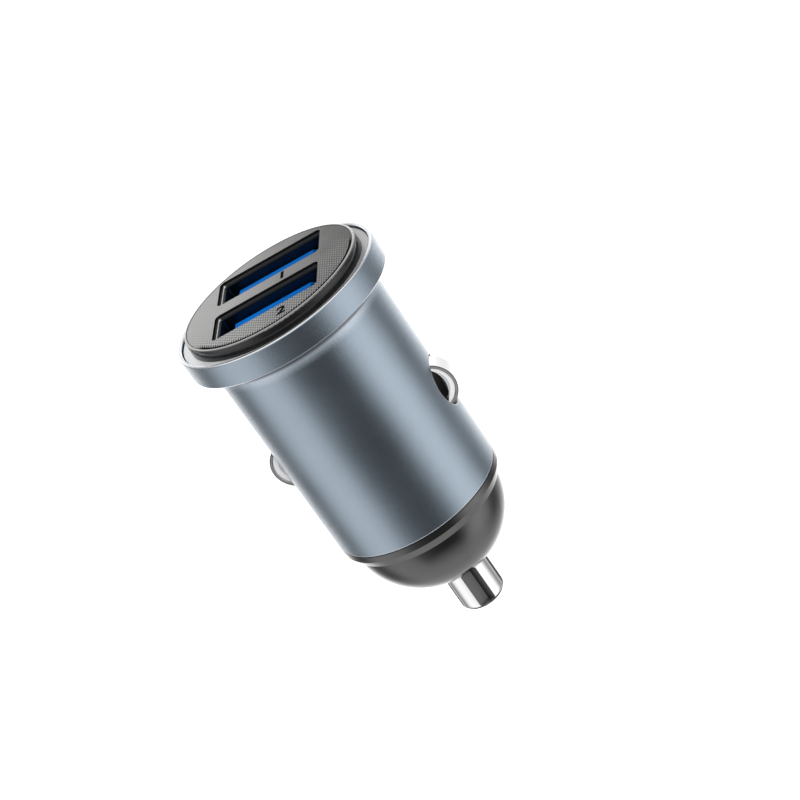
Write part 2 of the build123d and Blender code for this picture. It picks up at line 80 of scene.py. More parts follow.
def placeCamera(view):
    # the sight line from heading and tilt, then a turn about that line by the roll
    heading = math.radians(view["heading"])
    tilt = math.radians(view["tilt"])
    level = math.cos(tilt)
    sight = Vector((level * math.cos(heading), level * math.sin(heading), math.sin(tilt)))
    data = bpy.data.cameras.new("photoCamera")
    data.lens = view["lens"]
    data.sensor_width = view["sensor"]
    data.clip_start = view["nearest"]
    data.clip_end = view["farthest"]
    camera = bpy.data.objects.new("photoCamera", data)
    camera.rotation_mode = "QUATERNION"
    roll = Quaternion((0, 0, 1), math.radians(view["roll"]))
    camera.rotation_quaternion = sight.to_track_quat("-Z", "Y") @ roll
    camera.location = Vector(view["aim"]) - sight * view["distance"]
    bpy.context.scene.collection.objects.link(camera)
    bpy.context.scene.camera = camera


placeCamera(cameraView)
print("camera placed")


# helpers for node trees

def addNode(tree, kind, settings=None, **inputs):
    # one node with its settings; each input is linked if it is a socket, and set if it is a value
    node = tree.nodes.new(kind)
    for key, value in (settings or {}).items():
        setattr(node, key, value)
    for key, value in inputs.items():
        feed(tree, node.inputs[key.replace("_", " ")], value)
    return node


def feed(tree, socket, value):
    # link a socket to this input, or set its own value
    if isinstance(value, bpy.types.NodeSocket):
        tree.links.new(value, socket)
    elif socket.type == "RGBA" and len(value) == 3:
        socket.default_value = (*value, 1.0)
    else:
        socket.default_value = value


def arithmetic(tree, operation, first, second=0.0, third=0.0):
    # one step of arithmetic on sockets or numbers
    node = tree.nodes.new("ShaderNodeMath")
    node.operation = operation
    for socket, value in zip(node.inputs, (first, second, third)):
        feed(tree, socket, value)
    return node.outputs["Value"]


def mixed(tree, factor, first, second):
    # first colour where the factor is 0, second where it is 1
    node = tree.nodes.new("ShaderNodeMix")
    node.data_type = "RGBA"
    sockets = {socket.identifier: socket for socket in node.inputs}
    feed(tree, sockets["Factor_Float"], factor)
    feed(tree, sockets["A_Color"], first)
    feed(tree, sockets["B_Color"], second)
    return next(socket for socket in node.outputs if socket.identifier == "Result_Color")


def ranged(tree, value, low, high, start=0.0, end=1.0, smooth=True):
    # value between low and high, spread from start to end
    kind = "SMOOTHSTEP" if smooth else "LINEAR"
    node = addNode(tree, "ShaderNodeMapRange", {"interpolation_type": kind}, Value=value,
                   From_Min=low, From_Max=high, To_Min=start, To_Max=end)
    return node.outputs["Result"]


def colourRamp(tree, factor, stops, blend="LINEAR"):
    # colours at places from 0 to 1
    node = addNode(tree, "ShaderNodeValToRGB", None, Fac=factor)
    node.color_ramp.interpolation = blend
    elements = node.color_ramp.elements
    while len(elements) < len(stops):
        elements.new(1.0)
    for element, (place, colour) in zip(elements, stops):
        element.position = place
        element.color = (*colour, 1.0)
    return node.outputs["Color"]


# studio: world, floor and lamps

studio = {
    "cameraBearing": -73.65,        # degrees round from +X to the camera
    "panelShine": 2.0,              # brightness of a panel with a share of 1
    "panels": [                     # degrees round from the camera, and share of that brightness
        (-180, 0.92), (-152, 0.60), (-136, 0.14), (-116, 0.11), (-100, 0.46), (-82, 0.53), (-58, 0.50),
        (-42, 0.15), (-20, 0.07), (16, 0.035), (30, 0.24), (42, 0.56), (62, 0.66), (80, 0.47),
        (96, 0.16), (112, 0.12), (132, 0.38), (150, 0.68), (180, 0.92),
    ],
    "rearTint": (1.02, 1.0, 0.985),  # the panels behind the plug are a little warm
    "rearFrom": 145,
    "floorSide": (-0.97, -0.62),    # sine of the slope between which the panels give way to the floor
    "floorShine": 0.95,
    "skySide": (0.45, 0.80),
    "skyShine": 0.90,
    "fill": 0.70,                   # light on matt surfaces from all round
    "background": 1.0,
}
floorShape = {"drop": 9 * mm, "half": 4.0, "colour": (0.90, 0.90, 0.90), "lift": 0.60}
lampShapes = {                        # places, aims and sizes in metres, powers in watts
    "keyLamp": {"place": (-0.16, 0.10, 0.30), "aim": (0.0, 0.0, 0.0), "size": 0.16, "power": 0.16},
    "frontLamp": {"place": (0.16, -0.34, 0.10), "aim": (0.0, 0.0, -0.02), "size": 0.22, "power": 0.95},
    "faceLamp": {"place": (-0.023, 0.004, 0.026), "aim": (-0.004, 0.0, 0.004), "size": 0.012,
                 "power": 0.0075},
}


def makeWorld(values):
    # the camera sees plain white, matt surfaces get an even fill, and gloss sees panels round the plug
    world = bpy.data.worlds.new("studio")
    bpy.context.scene.world = world
    world.use_nodes = True
    tree = world.node_tree
    tree.nodes.clear()
    direction = addNode(tree, "ShaderNodeTexCoord").outputs["Generated"]
    split = addNode(tree, "ShaderNodeSeparateXYZ", None, Vector=direction)
    bearing = arithmetic(tree, "ARCTAN2", split.outputs["Y"], split.outputs["X"])
    turns = arithmetic(tree, "DIVIDE", bearing, 2 * math.pi)
    fromCamera = arithmetic(tree, "SUBTRACT", turns, values["cameraBearing"] / 360 - 0.5)
    stops = []
    for degrees, share in values["panels"]:
        tint = values["rearTint"] if abs(degrees) > values["rearFrom"] else (1.0, 1.0, 1.0)
        stops.append(((degrees + 180) / 360, tuple(share * part for part in tint)))
    panels = colourRamp(tree, arithmetic(tree, "FRACT", fromCamera), stops, "B_SPLINE")
    scaled = addNode(tree, "ShaderNodeVectorMath", {"operation": "SCALE"}, Vector=panels,
                     Scale=values["panelShine"]).outputs["Vector"]
    above = ranged(tree, split.outputs["Z"], *values["floorSide"])
    shine = mixed(tree, above, (values["floorShine"],) * 3, scaled)
    sky = ranged(tree, split.outputs["Z"], *values["skySide"])
    shine = mixed(tree, sky, shine, (values["skyShine"],) * 3)
    path = addNode(tree, "ShaderNodeLightPath")
    level = mixed(tree, path.outputs["Is Glossy Ray"], (values["fill"],) * 3, shine)
    seen = arithmetic(tree, "MAXIMUM", path.outputs["Is Camera Ray"], path.outputs["Is Transmission Ray"])
    level = mixed(tree, seen, level, (values["background"],) * 3)
    background = addNode(tree, "ShaderNodeBackground", None, Color=level)
    addNode(tree, "ShaderNodeOutputWorld", None, Surface=background.outputs["Background"])


def makeFloor(shape, lowest):
    # a flat square far below the plug's tip, pale and lifted to the background's white for the camera
    half = shape["half"]
    height = lowest - shape["drop"]
    mesh = bpy.data.meshes.new("studioFloor")
    corners = [(-half, -half, height), (half, -half, height), (half, half, height), (-half, half, height)]
    mesh.from_pydata(corners, [], [(0, 1, 2, 3)])
    floor = bpy.data.objects.new("studioFloor", mesh)
    bpy.context.scene.collection.objects.link(floor)
    material = bpy.data.materials.new("paleFloor")
    material.use_nodes = True
    tree = material.node_tree
    tree.nodes.clear()
    path = addNode(tree, "ShaderNodeLightPath")
    seen = arithmetic(tree, "MULTIPLY", path.outputs["Is Camera Ray"], shape["lift"])
    matt = addNode(tree, "ShaderNodeBsdfDiffuse", None, Color=shape["colour"])
    glow = addNode(tree, "ShaderNodeEmission", None, Strength=seen)
    summed = tree.nodes.new("ShaderNodeAddShader")
    tree.links.new(matt.outputs["BSDF"], summed.inputs[0])
    tree.links.new(glow.outputs["Emission"], summed.inputs[1])
    addNode(tree, "ShaderNodeOutputMaterial", None, Surface=summed.outputs["Shader"])
    mesh.materials.append(material)
    floor.visible_glossy = False      # gloss sees the world's own pale floor instead


def makeLamp(name, shape):
    # a square soft lamp that points at its aim and doesn't mirror in the metal
    data = bpy.data.lights.new(name, "AREA")
    data.size = shape["size"]
    data.energy = shape["power"]
    lamp = bpy.data.objects.new(name, data)
    lamp.location = shape["place"]
    lamp.rotation_mode = "QUATERNION"
    lamp.rotation_quaternion = (Vector(shape["aim"]) - Vector(shape["place"])).to_track_quat("-Z", "Y")
    lamp.visible_glossy = False
    lamp.visible_camera = False
    bpy.context.scene.collection.objects.link(lamp)


flags = {                             # degrees round from the camera, and each edge's radius and height
    "leftFlag": {
        "from": -149, "to": -113, "grey": 0.07, "edges": [(5.0 * mm, -45.8 * mm), (5.0 * mm, -39.4 * mm)],
    },
    "rightFlag": {
        "from": 98, "to": 149, "grey": 0.10, "edges": [(5.0 * mm, -45.8 * mm), (5.0 * mm, -39.4 * mm)],
    },
    "tipFlag": {
        "from": 0, "to": 360, "grey": 0.08, "edges": [(0.01 * mm, -44.0 * mm), (3.2 * mm, -44.0 * mm)],
    },
}
flagShape = {"steps": 25, "reach": 6.8 * mm}     # the reach is how far off a card is mirrored


def makeFlag(name, values, shape):
    # a small dark card behind or under the pin, as photographers use to draw the edges of bright metal;
    # point = (cosine of angle * radius, sine of angle * radius, height) from one edge to the other;
    # rays longer than the reach pass through it, so that the nose doesn't mirror it
    angle = np.radians(np.linspace(values["from"], values["to"], shape["steps"]) + studio["cameraBearing"])
    radius, height = np.array(values["edges"]).T[:, :, None]
    points = np.stack([np.cos(angle) * radius, np.sin(angle) * radius, height + 0 * angle], axis=-1)
    low, high = np.arange(2 * shape["steps"]).reshape(2, -1)
    faces = np.stack([low[:-1], low[1:], high[1:], high[:-1]], axis=-1)
    mesh = bpy.data.meshes.new(name)
    mesh.from_pydata(points.reshape(-1, 3).tolist(), [], faces.tolist())
    flag = bpy.data.objects.new(name, mesh)
    bpy.context.scene.collection.objects.link(flag)
    material = bpy.data.materials.new(name)
    material.use_nodes = True
    tree = material.node_tree
    tree.nodes.clear()
    card = addNode(tree, "ShaderNodeEmission", None, Color=(values["grey"],) * 3, Strength=1.0)
    clear = addNode(tree, "ShaderNodeBsdfTransparent")
    path = addNode(tree, "ShaderNodeLightPath")
    mix = addNode(tree, "ShaderNodeMixShader", None,
                  Fac=arithmetic(tree, "LESS_THAN", path.outputs["Ray Length"], shape["reach"]))
    tree.links.new(clear.outputs["BSDF"], mix.inputs[1])
    tree.links.new(card.outputs["Emission"], mix.inputs[2])
    addNode(tree, "ShaderNodeOutputMaterial", None, Surface=mix.outputs["Shader"])
    mesh.materials.append(material)
    flag.visible_camera = flag.visible_diffuse = flag.visible_transmission = flag.visible_shadow = False


makeWorld(studio)
makeFloor(floorShape, cadBox[0].z)
for name, values in flags.items():
    makeFlag(name, values, flagShape)
for name, shape in lampShapes.items():
    makeLamp(name, shape)
bpy.context.scene.view_settings.view_transform = "Standard"
print("studio built")


# finishes

finishes = {
    # change is how far the cloud moves the colour either way, as a share of it; rough is the roughness at
    # the cloud's two ends; cloud and grain are turns of the noise in a metre; grainDepth is in millimetres
    "anodisedShell": {
        "colour": (0.36, 0.43, 0.50), "change": 0.04, "metal": 1.0, "rough": (0.20, 0.26),
        "cloud": 160.0, "grain": 16000.0, "grainDepth": 0.0115,
    },
    "blackNickel": {
        "colour": (0.125, 0.125, 0.127), "change": 0.10, "metal": 1.0, "rough": (0.07, 0.11),
        "cloud": 240.0, "grain": 14000.0, "grainDepth": 0.0008,
    },
    "satinNose": {
        "colour": (0.125, 0.125, 0.126), "change": 0.07, "metal": 1.0, "rough": (0.10, 0.15),
        "cloud": 260.0, "grain": 9000.0, "grainDepth": 0.0014,
    },
    "lightPipe": {
        "colour": (0.43, 0.44, 0.445), "change": 0.06, "metal": 0.0, "rough": (0.30, 0.42),
        "cloud": 500.0, "grain": 7000.0, "grainDepth": 0.0015,
    },
    "glossCollar": {
        "colour": (0.008, 0.008, 0.008), "change": 0.30, "metal": 0.0, "rough": (0.10, 0.18),
        "cloud": 400.0, "grain": 9000.0, "grainDepth": 0.0008,
    },
    "faceGrey": {
        "colour": (0.200, 0.200, 0.199), "change": 0.04, "metal": 0.0, "rough": (0.42, 0.52),
        "cloud": 300.0, "grain": 9000.0, "grainDepth": 0.0020, "gloss": 0.18,
    },
    # the port sleeves' steel darkened to navy: painted shade inside the ports
    "shadedPortSteel": {
        "colour": (0.030, 0.058, 0.080), "change": 0.10, "metal": 1.0, "rough": (0.36, 0.46),
        "cloud": 700.0, "grain": 9000.0, "grainDepth": 0.0015,
    },
    "portBlue": {
        "colour": (0.0, 0.096, 0.36), "change": 0.08, "metal": 0.0, "rough": (0.50, 0.60),
        "cloud": 600.0, "grain": 9000.0, "grainDepth": 0.0020, "gloss": 0.03,
    },
    "goldContact": {
        "colour": (0.85, 0.60, 0.22), "change": 0.08, "metal": 1.0, "rough": (0.14, 0.24),
        "cloud": 900.0, "grain": 12000.0, "grainDepth": 0.0010,
    },
    "boardGreen": {
        "colour": (0.02, 0.12, 0.05), "change": 0.25, "metal": 0.0, "rough": (0.28, 0.40),
        "cloud": 900.0, "grain": 5000.0, "grainDepth": 0.0020,
    },
    "carrierBlack": {
        "colour": (0.050, 0.047, 0.045), "change": 0.25, "metal": 0.0, "rough": (0.45, 0.60),
        "cloud": 500.0, "grain": 6000.0, "grainDepth": 0.0040,
    },
    "polishedContact": {
        "colour": (0.92, 0.92, 0.93), "change": 0.02, "metal": 1.0, "rough": (0.04, 0.07),
        "cloud": 600.0, "grain": 9000.0, "grainDepth": 0.0006,
    },
    "springSteel": {
        "colour": (0.52, 0.52, 0.54), "change": 0.10, "metal": 1.0, "rough": (0.18, 0.28),
        "cloud": 900.0, "grain": 12000.0, "grainDepth": 0.0015,
    },
    "pinChrome": {
        "colour": (0.95, 0.95, 0.955), "change": 0.02, "metal": 1.0, "rough": (0.03, 0.06),
        "cloud": 700.0, "grain": 12000.0, "grainDepth": 0.0006,
    },
    "tinPlate": {
        "colour": (0.62, 0.62, 0.62), "change": 0.08, "metal": 1.0, "rough": (0.26, 0.38),
        "cloud": 900.0, "grain": 9000.0, "grainDepth": 0.0020,
    },
    "lampResin": {
        "colour": (0.80, 0.77, 0.55), "change": 0.06, "metal": 0.0, "rough": (0.30, 0.42),
        "cloud": 1200.0, "grain": 9000.0, "grainDepth": 0.0015,
    },
    "ferriteGrey": {
        "colour": (0.055, 0.055, 0.060), "change": 0.25, "metal": 0.0, "rough": (0.50, 0.70),
        "cloud": 1500.0, "grain": 7000.0, "grainDepth": 0.0060,
    },
    "drawnCan": {
        "colour": (0.72, 0.73, 0.75), "change": 0.06, "metal": 1.0, "rough": (0.22, 0.32),
        "cloud": 900.0, "grain": 11000.0, "grainDepth": 0.0015,
    },
    "chipBlack": {
        "colour": (0.020, 0.020, 0.022), "change": 0.20, "metal": 0.0, "rough": (0.42, 0.56),
        "cloud": 1500.0, "grain": 9000.0, "grainDepth": 0.0030,
    },
    "ceramicTan": {
        "colour": (0.32, 0.21, 0.12), "change": 0.15, "metal": 0.0, "rough": (0.36, 0.50),
        "cloud": 2500.0, "grain": 12000.0, "grainDepth": 0.0025,
    },
    "numeralInk": {
        "colour": (0.006, 0.006, 0.006), "change": 0.20, "metal": 0.0, "rough": (0.50, 0.60),
        "cloud": 2500.0, "grain": 12000.0, "grainDepth": 0.0010, "gloss": 0.0,
    },
}


noise = {"cloudDetail": 4.0, "grainDetail": 2.0, "spread": (0.3, 0.7), "plainGloss": 0.5}


def startFinish(name, finish):
    # a cloudy change of colour and roughness between the spread's ends, and a fine grain raised by bump
    material = bpy.data.materials.new(name)
    material.use_nodes = True
    tree = material.node_tree
    coordinates = addNode(tree, "ShaderNodeTexCoord").outputs
    place = coordinates["Object"]
    cloud = addNode(tree, "ShaderNodeTexNoise", None, Vector=place, Scale=finish["cloud"],
                    Detail=noise["cloudDetail"])
    grain = addNode(tree, "ShaderNodeTexNoise", None, Vector=place, Scale=finish["grain"],
                    Detail=noise["grainDetail"])
    dark = tuple(part * (1 - finish["change"]) for part in finish["colour"])
    light = tuple(min(1.0, part * (1 + finish["change"])) for part in finish["colour"])
    split = addNode(tree, "ShaderNodeSeparateXYZ", None, Vector=place).outputs
    facing = addNode(tree, "ShaderNodeSeparateXYZ", None, Vector=coordinates["Normal"]).outputs
    square = arithmetic(tree, "MULTIPLY", split["X"], split["X"])
    square = arithmetic(tree, "MULTIPLY_ADD", split["Y"], split["Y"], square)
    return {
        "material": material, "tree": tree, "shader": tree.nodes["Principled BSDF"],
        "x": split["X"], "y": split["Y"], "z": split["Z"], "radius": arithmetic(tree, "SQRT", square),
        "facingX": facing["X"], "facingY": facing["Y"],
        "height": grain.outputs["Fac"], "depth": finish["grainDepth"] * mm,
        "Base Color": colourRamp(tree, cloud.outputs["Fac"], list(zip(noise["spread"], (dark, light)))),
        "Metallic": finish["metal"],
        "Roughness": ranged(tree, cloud.outputs["Fac"], *noise["spread"], *finish["rough"]),
        "Specular IOR Level": finish.get("gloss", noise["plainGloss"]),
    }


def within(look, value, low, high, edge):
    # 1 where the value lies between low and high, falling to 0 over the edge's width outside
    tree = look["tree"]
    rise = ranged(tree, value, low - edge, low)
    fall = ranged(tree, value, high, high + edge, 1.0, 0.0)
    return arithmetic(tree, "MULTIPLY", rise, fall)


def both(look, first, second):
    # where two masks overlap
    return arithmetic(look["tree"], "MULTIPLY", first, second)


def lay(look, mask, colour=None, metal=None, rough=None, gloss=None):
    # another colour, metal share, roughness or gloss where the mask is 1
    tree = look["tree"]
    if colour is not None:
        look["Base Color"] = mixed(tree, mask, look["Base Color"], colour)
    for name, value in (("Metallic", metal), ("Roughness", rough), ("Specular IOR Level", gloss)):
        if value is not None:
            node = addNode(tree, "ShaderNodeMix", None, Factor=mask, A=look[name], B=value)
            look[name] = node.outputs["Result"]


def endFinish(look):
    # the finished values go to the shader
    tree, shader = look["tree"], look["shader"]
    for name in ("Base Color", "Metallic", "Roughness", "Specular IOR Level"):
        feed(tree, shader.inputs[name], look[name])
    bump = addNode(tree, "ShaderNodeBump", None, Height=look["height"], Distance=look["depth"])
    feed(tree, shader.inputs["Normal"], bump.outputs["Normal"])
    return look["material"]


shellMarks = {                        # a From pair is where a mark starts and where it is full
    "bevel": (0.95, 0.96, 0.98), "bevelFrom": (2.82 * mm, 2.84 * mm), "bevelRough": 0.06,
    "land": (0.40, 0.44, 0.49), "landFrom": (2.912 * mm, 2.916 * mm),
    "foot": (0.62, 0.64, 0.67), "rimFoot": (-0.01 * mm, 0.125 * mm), "outsideFrom": (12.25 * mm, 12.30 * mm),
    # the foot line is a painted highlight on the barrel just above its foot chamfer
    "paintedFootHighlight": (0.45, 0.48, 0.52), "paintedFootHighlightMetal": 0.5, "barrelFoot": (-26.70 * mm, -26.60 * mm),
    "headFrom": (10.7 * mm, 10.8 * mm), "soft": 0.01 * mm,
    # lift is a pale painted reflection of the head on the barrel below it
    "lift": (0.58, 0.63, 0.70), "paintedHazeFrom": (-2.4 * mm, -1.2 * mm), "paintedHazeShare": 0.50, "paintedHazeMetal": 0.30,
    "shade": (0.066, 0.060, 0.062), "shadeFrom": (-1.35 * mm, -0.95 * mm), "shadeShare": 0.80,
    "windowMiddle": -15.65 * mm, "windowHalf": (2.9 * mm, 3.2 * mm), "windowLine": (1.0, 1.035),
    "windowSoft": 0.012,
}


def dressShell(look, marks):
    # cut bevels bright; under the head a dark line of painted shade with a pale haze below it, a painted
    # reflection of the head;
    # a painted highlight line on the barrel just above its foot; and a bright line round each window;
    # a window's distance is the root of (y / half width) squared plus (z / half height) squared
    tree = look["tree"]
    lay(look, ranged(tree, look["z"], *marks["bevelFrom"]), marks["bevel"], rough=marks["bevelRough"])
    lay(look, ranged(tree, look["z"], *marks["landFrom"]), marks["land"])
    outside = ranged(tree, look["radius"], *marks["outsideFrom"])
    foot = both(look, within(look, look["z"], *marks["rimFoot"], marks["soft"]), outside)
    lay(look, foot, marks["foot"], rough=marks["bevelRough"])
    # painted highlight: a light line on the barrel just above its foot
    paintedFootHighlight = within(look, look["z"], *marks["barrelFoot"], marks["soft"])
    lay(look, paintedFootHighlight, marks["paintedFootHighlight"], metal=marks["paintedFootHighlightMetal"])
    onBarrel = ranged(tree, look["radius"], *marks["headFrom"], 1.0, 0.0)
    # painted reflection of the head: a pale haze on the barrel under it
    lift = ranged(tree, look["z"], *marks["paintedHazeFrom"], 0.0, marks["paintedHazeShare"])
    lay(look, both(look, onBarrel, lift), marks["lift"], metal=marks["paintedHazeMetal"])
    # painted shade: a dark line on the barrel right under the head
    shade = ranged(tree, look["z"], *marks["shadeFrom"], 0.0, marks["shadeShare"])
    lay(look, both(look, onBarrel, shade), marks["shade"])
    halfWidth, halfHeight = marks["windowHalf"]
    across = arithmetic(tree, "DIVIDE", look["y"], halfWidth)
    along = arithmetic(tree, "SUBTRACT", look["z"], marks["windowMiddle"])
    along = arithmetic(tree, "DIVIDE", along, halfHeight)
    square = arithmetic(tree, "MULTIPLY_ADD", along, along, arithmetic(tree, "MULTIPLY", across, across))
    distance = arithmetic(tree, "SQRT", square)
    lay(look, within(look, distance, *marks["windowLine"], marks["windowSoft"]), marks["foot"])


faceMarks = {
    "across": 0.30 * mm, "slanted": 0.57 * mm,                      # pitches of the two sines
    "paintedHollowShade": (0.015, 0.015, 0.015), "paintedHollowShadeFrom": (-0.3, 0.4),     # from one value of a sine to another
    "paintedRidgeLight": (0.40, 0.40, 0.395), "paintedRidgeLightFrom": (0.1, -0.6), "paintedRidgeLightShare": 0.5,
    "lean": -0.35, "even": 0.12, "strong": 0.85, "strongFrom": (-7.5 * mm, 2.0 * mm),
    "rightShade": (0.045, 0.045, 0.045), "rightShadeFrom": (-5.0 * mm, 9.5 * mm),
    "edgeShade": (0.006, 0.006, 0.006), "cutBelow": (3.935 * mm, 3.940 * mm), "nearFrom": (-2.0 * mm, -4.0 * mm),
    "line": (10.26 * mm, 10.32 * mm), "teeth": (9.90 * mm, 10.15 * mm), "toothFrom": (-0.2, 0.2),
    "teethEnd": (7.0 * mm, 8.5 * mm),
}


def dressFace(look, marks):
    # a fine weave of two sines, one of x and one of x + y, each turning once a pitch, painted as the light
    # and shade of a knurl whose relief isn't modelled: painted shade in the hollows where both are high, a
    # painted highlight on the ridges where both are low, and stronger where nearness = y + lean * x is
    # small; darker to the right as painted shade, with black painted shade in a toothed line along the near
    # edge and on the cut edges
    tree = look["tree"]
    one = arithmetic(tree, "MULTIPLY", look["x"], 2 * math.pi / marks["across"])
    one = arithmetic(tree, "SINE", one)
    other = arithmetic(tree, "ADD", look["x"], look["y"])
    other = arithmetic(tree, "SINE", arithmetic(tree, "MULTIPLY", other, 2 * math.pi / marks["slanted"]))
    # painted knurl: shade in its hollows and a highlight on its ridges, the relief itself not modelled
    paintedHollowShades = both(look, *(ranged(tree, wave, *marks["paintedHollowShadeFrom"]) for wave in (one, other)))
    paintedRidgeLights = both(look, *(ranged(tree, wave, *marks["paintedRidgeLightFrom"]) for wave in (one, other)))
    # painted shade: the plate darker towards the right, away from the face lamp
    lay(look, ranged(tree, look["x"], *marks["rightShadeFrom"], smooth=False), marks["rightShade"])
    nearness = arithmetic(tree, "MULTIPLY_ADD", look["x"], marks["lean"], look["y"])
    share = ranged(tree, nearness, *marks["strongFrom"], marks["strong"], marks["even"])
    lay(look, both(look, paintedHollowShades, share), marks["paintedHollowShade"])
    lay(look, both(look, paintedRidgeLights, both(look, share, marks["paintedRidgeLightShare"])), marks["paintedRidgeLight"])
    # painted shade: black along the plate's near edge, toothed into the weave, and on its cut sides
    teeth = both(look, ranged(tree, look["radius"], *marks["teeth"]), ranged(tree, one, *marks["toothFrom"]))
    teeth = both(look, teeth, ranged(tree, look["x"], *marks["teethEnd"], 1.0, 0.0))
    edgeShade = arithmetic(tree, "MAXIMUM", teeth, ranged(tree, look["radius"], *marks["line"]))
    near = ranged(tree, nearness, *marks["nearFrom"])
    lay(look, both(look, near, edgeShade), marks["edgeShade"], gloss=0.0)
    lay(look, ranged(tree, look["z"], *marks["cutBelow"], 1.0, 0.0), marks["edgeShade"], gloss=0.0)


collarMarks = {
    "crest": (0.28, 0.28, 0.28), "crestRough": 0.14, "crestFrom": (3.80 * mm, 3.86 * mm),
    "crestWidth": (10.73 * mm, 10.92 * mm), "crestSoft": 0.03 * mm,
    "slope": (0.020, 0.020, 0.021), "slopeRough": 0.5, "slopeGloss": 0.05,
    "mouthBelow": (3.66 * mm, 3.67 * mm), "mouthInside": (10.45 * mm, 10.50 * mm),
    "side": (0.42, 0.42, 0.43), "sideRough": 0.4, "sideFacing": (0.06, 0.12),
    "sideFrom": (-6.65 * mm, -6.59 * mm),
    "throat": (0.002, 0.004, 0.006), "throatBelow": (3.555 * mm, 3.575 * mm),
}


def dressCollar(look, marks):
    # a bright metal crest as a painted highlight; dull slopes inside the mouths, painted light on the left
    # side, painted shade in the throat
    tree = look["tree"]
    # painted highlight: the collar's crest made bright metal
    paintedRidgeLight = within(look, look["radius"], *marks["crestWidth"], marks["crestSoft"])
    crest = both(look, ranged(tree, look["z"], *marks["crestFrom"]), paintedRidgeLight)
    lay(look, crest, marks["crest"], metal=1.0, rough=marks["crestRough"])
    mouth = both(look, ranged(tree, look["z"], *marks["mouthBelow"], 1.0, 0.0),
                 ranged(tree, look["radius"], *marks["mouthInside"], 1.0, 0.0))
    lay(look, mouth, marks["slope"], rough=marks["slopeRough"], gloss=marks["slopeGloss"])
    # painted light: the mouths' left slopes paler
    side = both(look, ranged(tree, look["facingX"], *marks["sideFacing"]),
                ranged(tree, look["x"], *marks["sideFrom"]))
    lay(look, both(look, mouth, side), marks["side"], rough=marks["sideRough"])
    # painted shade deep in the mouths
    throat = ranged(tree, look["z"], *marks["throatBelow"], 1.0, 0.0)
    lay(look, both(look, mouth, throat), marks["throat"])


pinMarks = {
    "corner": (0.63 * mm, -1.52 * mm), "turn": math.radians(-128),      # where the walls meet, and the turn
    "wallFrom": (-0.03 * mm, -0.004 * mm), "rough": 0.55, "gloss": 0.15,
    "left": (0.115, 0.115, 0.115), "right": (0.080, 0.080, 0.080), "rightWallShadeFrom": (-0.05 * mm, 0.05 * mm),
    "dark": (0.015, 0.015, 0.015), "cornerShadeReach": (0.0, 1.1 * mm),
}


def dressPin(look, marks):
    # the notch's two walls are dull and dark, with painted shade on the right one, deepest near the corner:
    # first and second are the distances along them from their corner, which are x and y turned about it
    tree = look["tree"]
    x = arithmetic(tree, "SUBTRACT", look["x"], marks["corner"][0])
    y = arithmetic(tree, "SUBTRACT", look["y"], marks["corner"][1])
    cosine, sine = math.cos(marks["turn"]), math.sin(marks["turn"])
    first = arithmetic(tree, "MULTIPLY_ADD", x, cosine, arithmetic(tree, "MULTIPLY", y, sine))
    second = arithmetic(tree, "MULTIPLY_ADD", x, -sine, arithmetic(tree, "MULTIPLY", y, cosine))
    notch = ranged(tree, arithmetic(tree, "MINIMUM", first, second), *marks["wallFrom"])
    lay(look, notch, marks["left"], metal=0.0, rough=marks["rough"], gloss=marks["gloss"])
    # painted shade on the right wall, deepest near the corner
    right = both(look, notch, ranged(tree, arithmetic(tree, "SUBTRACT", second, first), *marks["rightWallShadeFrom"]))
    lay(look, right, marks["right"])
    depth = ranged(tree, arithmetic(tree, "MAXIMUM", first, second), *marks["cornerShadeReach"], 1.0, 0.0)
    lay(look, both(look, right, depth), marks["dark"])


contactMarks = {
    "middle": (8.75 * mm, -15.65 * mm),                                 # the bow's own axis, in x and z
    "facing": (0.55, 0.75), "rough": 0.35,
    "flank": [(0.0, (0.62, 0.62, 0.63)), (0.35, (0.58, 0.58, 0.59)), (0.50, (0.95, 0.95, 0.955)),
              (1.0, (0.97, 0.97, 0.975))],
    "flankReach": (1.80 * mm, 2.74 * mm),
    "strip": (0.22, 0.22, 0.225), "stripFrom": (2.73 * mm, 2.77 * mm),
    "innerShadeLine": (0.06, 0.06, 0.06), "innerShadeLineAt": (2.73 * mm, 2.78 * mm), "soft": 0.02 * mm,
    "outerShadeLine": (0.03, 0.03, 0.03), "outerShadeLineFrom": (2.97 * mm, 3.02 * mm),
}


def dressContact(look, marks):
    # the bow's sides by their reach, the distance from its own axis: flanks painted pale as a highlight and
    # grey inward as shade, and the grey edge of the strip between two dark lines of painted shade
    tree = look["tree"]
    x = arithmetic(tree, "SUBTRACT", arithmetic(tree, "ABSOLUTE", look["x"]), marks["middle"][0])
    z = arithmetic(tree, "SUBTRACT", look["z"], marks["middle"][1])
    square = arithmetic(tree, "MULTIPLY_ADD", z, z, arithmetic(tree, "MULTIPLY", x, x))
    reach = arithmetic(tree, "SQRT", square)
    side = ranged(tree, arithmetic(tree, "ABSOLUTE", look["facingY"]), *marks["facing"])
    # painted highlight on the flanks, white outward and grey inward as painted shade
    flank = colourRamp(tree, ranged(tree, reach, *marks["flankReach"], smooth=False), marks["flank"])
    lay(look, side, flank, metal=0.0, rough=marks["rough"])
    lay(look, both(look, side, ranged(tree, reach, *marks["stripFrom"])), marks["strip"], metal=0.0)
    # painted shade: two dark lines either side of the strip's edge
    innerShadeLine = within(look, reach, *marks["innerShadeLineAt"], marks["soft"])
    lay(look, both(look, side, innerShadeLine), marks["innerShadeLine"])
    lay(look, both(look, side, ranged(tree, reach, *marks["outerShadeLineFrom"])), marks["outerShadeLine"])


details = {
    "anodisedShell": (dressShell, shellMarks), "faceGrey": (dressFace, faceMarks),
    "glossCollar": (dressCollar, collarMarks), "pinChrome": (dressPin, pinMarks),
    "polishedContact": (dressContact, contactMarks),
}


